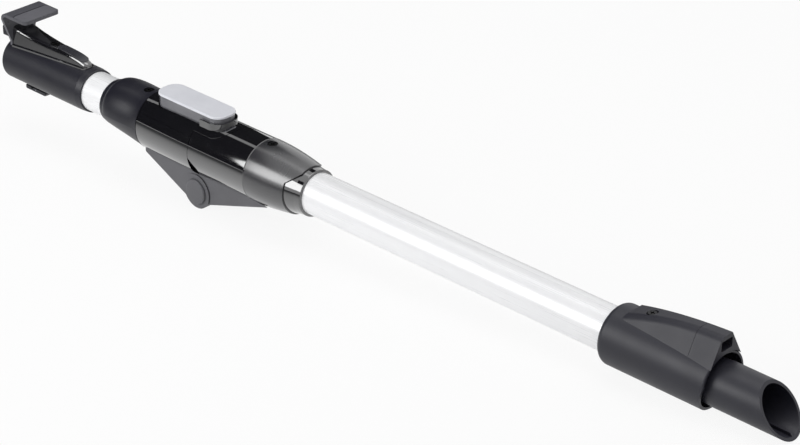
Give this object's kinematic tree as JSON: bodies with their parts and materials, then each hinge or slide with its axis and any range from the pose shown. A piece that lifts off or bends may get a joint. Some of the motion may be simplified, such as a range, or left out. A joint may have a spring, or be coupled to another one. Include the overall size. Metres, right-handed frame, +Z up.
{
  "type": "folding vacuum wand",
  "caption": "Straight suction wand with a lockable knee joint: round socket, rest hook and release tab at one end, slant-cut spigot and electrical socket at the other.",
  "frame": {"origin": "centre of the upper socket's mouth", "axes": "+X along the wand to the slant-cut spigot, +Z up on the button side, fold axis along Y"},
  "size_m": [0.7725, 0.049, 0.0901],
  "materials": {
    "charcoal": "fine matte grain",
    "gloss_black": "high gloss",
    "matte_black": "matte",
    "satin_grey": "satin sheen",
    "knee_grey": "matte",
    "hook_grey": "satin",
    "pad_grey": "soft matte",
    "button_pale": "satin",
    "frame_smoke": "smoky gloss",
    "inner_black": "plain",
    "tube_silver": "bright anodised",
    "soft_black": "soft",
    "steel": "bright",
    "contact": "plated",
    "contact_white": "plain"
  },
  "bodies": {
    "upper_section": {"upper_sleeve": "charcoal", "socket_seal": "soft_black", "upper_cover": "gloss_black", "cover_inlay": "matte_black", "rest_hook": "hook_grey", "hook_pad": "pad_grey", "plug_housing": "matte_black", "plug_pins": "contact", "release_pin": "steel", "release_spring": "steel", "upper_screws": "steel", "upper_tube": "tube_silver", "nose_top": "matte_black", "nose_bottom": "matte_black", "barrel_top": "gloss_black", "barrel_bottom": "gloss_black", "button_tray": "inner_black", "button_springs": "steel", "upper_knee": "knee_grey", "hinge_pin": "steel", "hinge_cap_near": "knee_grey", "hinge_cap_far": "knee_grey", "flex_hose": "soft_black", "upper_cuff": "soft_black"},
    "lower_section": {"latch_keeper": "inner_black", "lower_knee": "knee_grey", "hinge_bush": "inner_black", "lower_cuff": "soft_black", "lower_barrel": "gloss_black", "collar": "satin_grey", "collar_ring": "gloss_black", "lower_tube": "tube_silver", "lower_sleeve": "charcoal", "lower_cover": "charcoal", "contact_shroud": "charcoal", "contact_block": "contact_white", "contact_pins": "contact", "spigot": "charcoal", "lower_screws": "steel"},
    "lock_button": {"button_cap": "button_pale", "button_frame": "frame_smoke", "latch_hook": "inner_black"},
    "release_lever": {"release_tab": "charcoal"}
  },
  "joints": [
    {"name": "wand_fold", "type": "hinge", "parent": "upper_section", "child": "lower_section", "pos_m": [0.2305, 0, -0.032], "axis": [0, 1, 0], "range_deg": [0, 85], "deforming": ["flex_hose"]},
    {"name": "button_press", "type": "slide", "parent": "upper_section", "child": "lock_button", "axis": [0, 0, -1], "range_m": [0, 0.003], "stiffness_N_per_m": 800, "springref_m": -0.003, "deforming": ["button_springs"]},
    {"name": "release_press", "type": "hinge", "parent": "upper_section", "child": "release_lever", "pos_m": [0.025, 0, -0.0208], "axis": [0, -1, 0], "range_deg": [0, 4], "stiffness_Nm_per_rad": 0.4, "springref_deg": -2.86, "deforming": ["release_spring"]}
  ]
}
